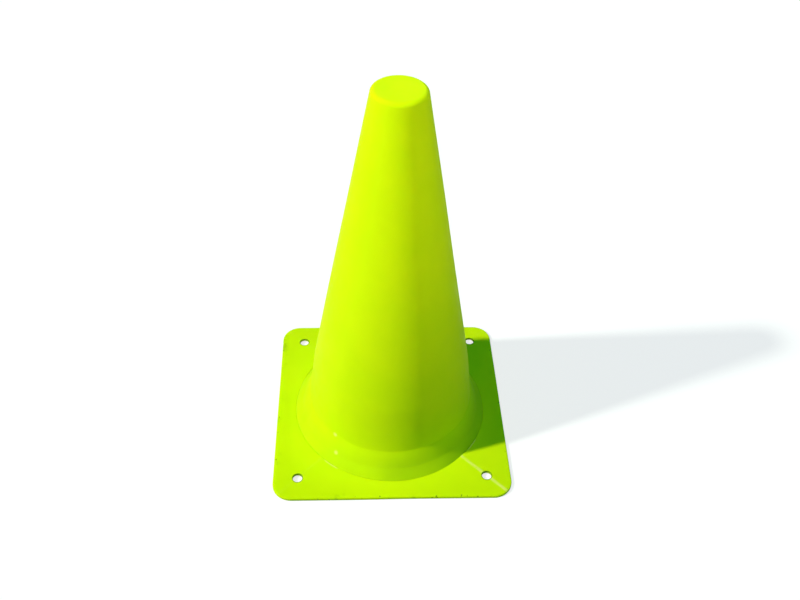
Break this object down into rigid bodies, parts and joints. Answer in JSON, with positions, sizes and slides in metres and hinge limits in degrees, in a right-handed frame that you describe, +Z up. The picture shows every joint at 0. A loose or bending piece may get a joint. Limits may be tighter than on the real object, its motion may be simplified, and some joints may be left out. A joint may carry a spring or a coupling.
{
  "type": "sports marker cone",
  "caption": "Hollow tapered marker cone with a flat crown and a flared foot, standing through a square base plate with corner holes and open below for nesting.",
  "frame": {"origin": "on the ground, under the middle of the cone", "axes": "+Z up along the cone's axis, X and Y parallel to the base plate's sides, -Y towards the front"},
  "size_m": [0.185, 0.185, 0.3],
  "materials": {
    "cone_plastic": "satin, fluorescent lime",
    "base_plastic": "satin, fluorescent lime"
  },
  "bodies": {
    "root": {"cone_body": "cone_plastic", "base_plate": "base_plastic"}
  },
  "joints": []
}
